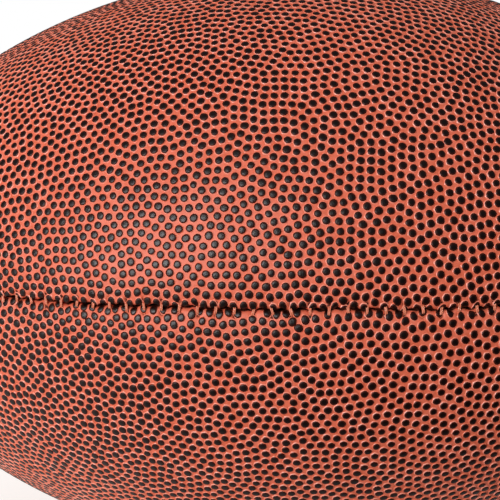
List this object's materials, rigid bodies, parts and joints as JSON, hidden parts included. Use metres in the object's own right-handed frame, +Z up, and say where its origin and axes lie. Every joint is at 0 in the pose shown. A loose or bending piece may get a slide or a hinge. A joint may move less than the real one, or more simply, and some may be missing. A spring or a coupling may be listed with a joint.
{
  "type": "american football",
  "caption": "American football: pebbled panels sewn edge to edge over a rubber bladder, laced on top, with a needle valve in one panel.",
  "frame": {"origin": "lowest point of the belly, under the middle of the ball, which lies on its side as in the picture", "axes": "+X along the long axis, +Z up through the lacing, -Y towards the viewer of the picture"},
  "size_m": [0.2848, 0.171, 0.1757],
  "materials": {
    "cover": "pebbled, satin, with dark pebble tips",
    "lining": "woven cotton",
    "thread": "waxed twisted thread",
    "facing": "plain, matte",
    "lace": "coated, satin",
    "bladder": "matte",
    "valve": "satin",
    "plug": "matte"
  },
  "bodies": {
    "root": {"upper_front_cover": "cover", "upper_rear_cover": "cover", "lower_front_cover": "cover", "lower_rear_cover": "cover", "upper_front_lining": "lining", "upper_rear_lining": "lining", "lower_front_lining": "lining", "lower_rear_lining": "lining", "front_needle_thread": "thread", "front_bobbin_thread": "thread", "rear_needle_thread": "thread", "rear_bobbin_thread": "thread", "bottom_needle_thread": "thread", "bottom_bobbin_thread": "thread", "top_needle_thread": "thread", "top_bobbin_thread": "thread", "front_lace_facing": "facing", "rear_lace_facing": "facing", "lace_tongue": "facing", "lace": "lace", "bladder": "bladder", "valve_body": "valve", "valve_plug": "plug"}
  },
  "joints": []
}
